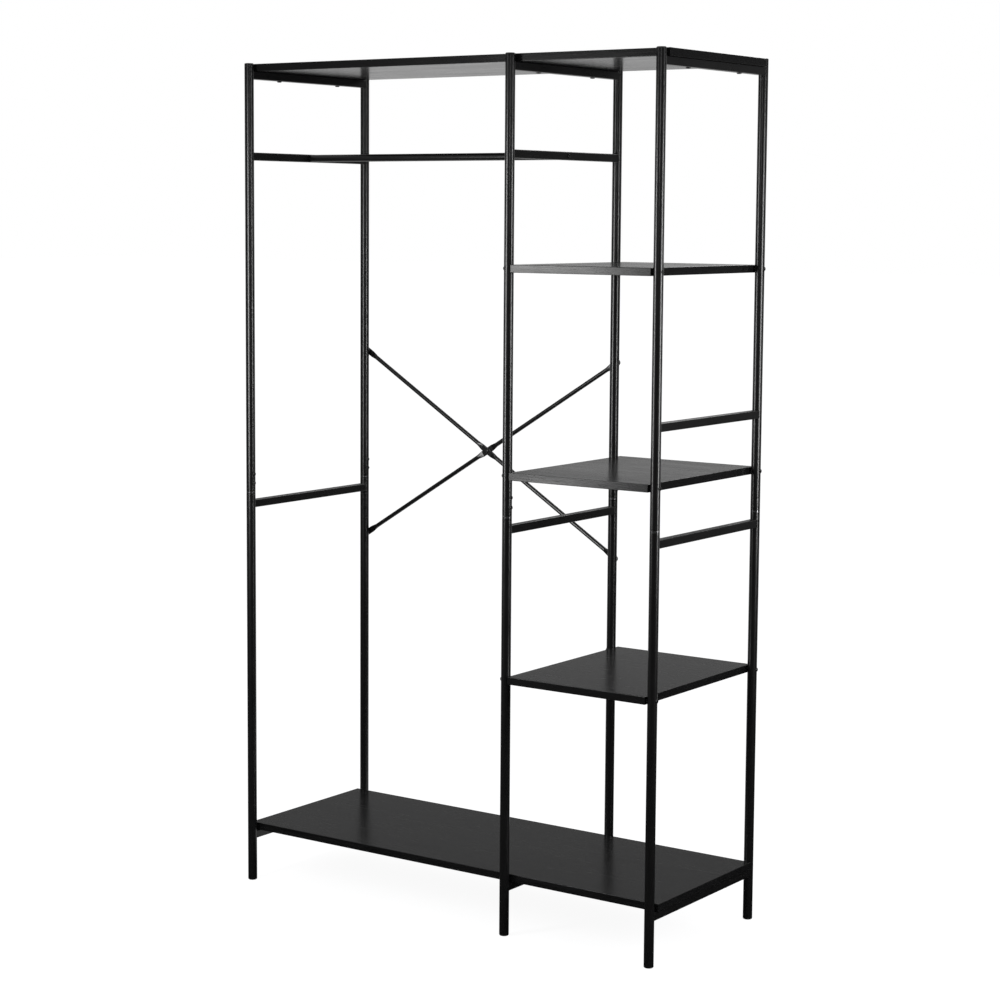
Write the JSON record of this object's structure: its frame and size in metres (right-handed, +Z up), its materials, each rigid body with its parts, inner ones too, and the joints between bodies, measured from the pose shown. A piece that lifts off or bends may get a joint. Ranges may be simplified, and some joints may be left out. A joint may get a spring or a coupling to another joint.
{
  "type": "open frame wardrobe",
  "caption": "Free-standing open clothes rack of black round steel tube with a hanging rod, a crossed back brace, a top and a bottom board and a narrow bay of shelves.",
  "frame": {"origin": "on the floor, midway between the outer uprights and midway between the front and back uprights", "axes": "+X to the narrow shelf bay along the width, +Y to the back, +Z up"},
  "size_m": [1.06, 0.4306, 1.8],
  "materials": {
    "black_steel": "satin black powder coat",
    "black_sleeve": "gloss black paint",
    "black_board": "black wood-grain foil on board, semi-gloss",
    "black_plastic": "moulded black plastic",
    "black_fastener": "black coated fastener steel",
    "plated_steel": "zinc plated"
  },
  "bodies": {
    "root": {"left_front_lower_upright": "black_steel", "left_front_upper_upright": "black_steel", "left_front_joint_sleeve": "black_sleeve", "left_front_top_cap": "black_plastic", "left_front_foot_plug": "black_plastic", "left_back_lower_upright": "black_steel", "left_back_upper_upright": "black_steel", "left_back_joint_sleeve": "black_sleeve", "left_back_top_cap": "black_plastic", "left_back_foot_plug": "black_plastic", "left_bottom_bar": "black_steel", "left_waist_bar": "black_steel", "left_rod_bar": "black_steel", "left_top_bar": "black_steel", "centre_front_lower_upright": "black_steel", "centre_front_upper_upright": "black_steel", "centre_front_joint_sleeve": "black_sleeve", "centre_front_top_cap": "black_plastic", "centre_front_foot_plug": "black_plastic", "centre_back_lower_upright": "black_steel", "centre_back_upper_upright": "black_steel", "centre_back_joint_sleeve": "black_sleeve", "centre_back_top_cap": "black_plastic", "centre_back_foot_plug": "black_plastic", "centre_bottom_bar": "black_steel", "centre_waist_bar": "black_steel", "centre_rod_bar": "black_steel", "centre_top_bar": "black_steel", "right_front_lower_upright": "black_steel", "right_front_upper_upright": "black_steel", "right_front_joint_sleeve": "black_sleeve", "right_front_top_cap": "black_plastic", "right_front_foot_plug": "black_plastic", "right_back_lower_upright": "black_steel", "right_back_upper_upright": "black_steel", "right_back_joint_sleeve": "black_sleeve", "right_back_top_cap": "black_plastic", "right_back_foot_plug": "black_plastic", "right_bottom_bar": "black_steel", "right_waist_bar": "black_steel", "right_shelf_bar": "black_steel", "right_top_bar": "black_steel", "top_board": "black_board", "bottom_board": "black_board", "upper_shelf": "black_board", "middle_shelf": "black_board", "lower_shelf": "black_board", "hanging_rod": "black_steel", "rising_brace": "black_steel", "falling_brace": "black_steel", "rod_bolts": "black_fastener", "shelf_bolts": "black_fastener", "brace_end_bolts": "black_fastener", "brace_pivot_bolt": "black_fastener", "brace_pivot_nut": "black_fastener", "joint_screws": "black_fastener", "board_screws": "black_fastener", "rod_end_nuts": "plated_steel", "shelf_insert_nuts": "plated_steel", "brace_rivet_nuts": "plated_steel"}
  },
  "joints": []
}
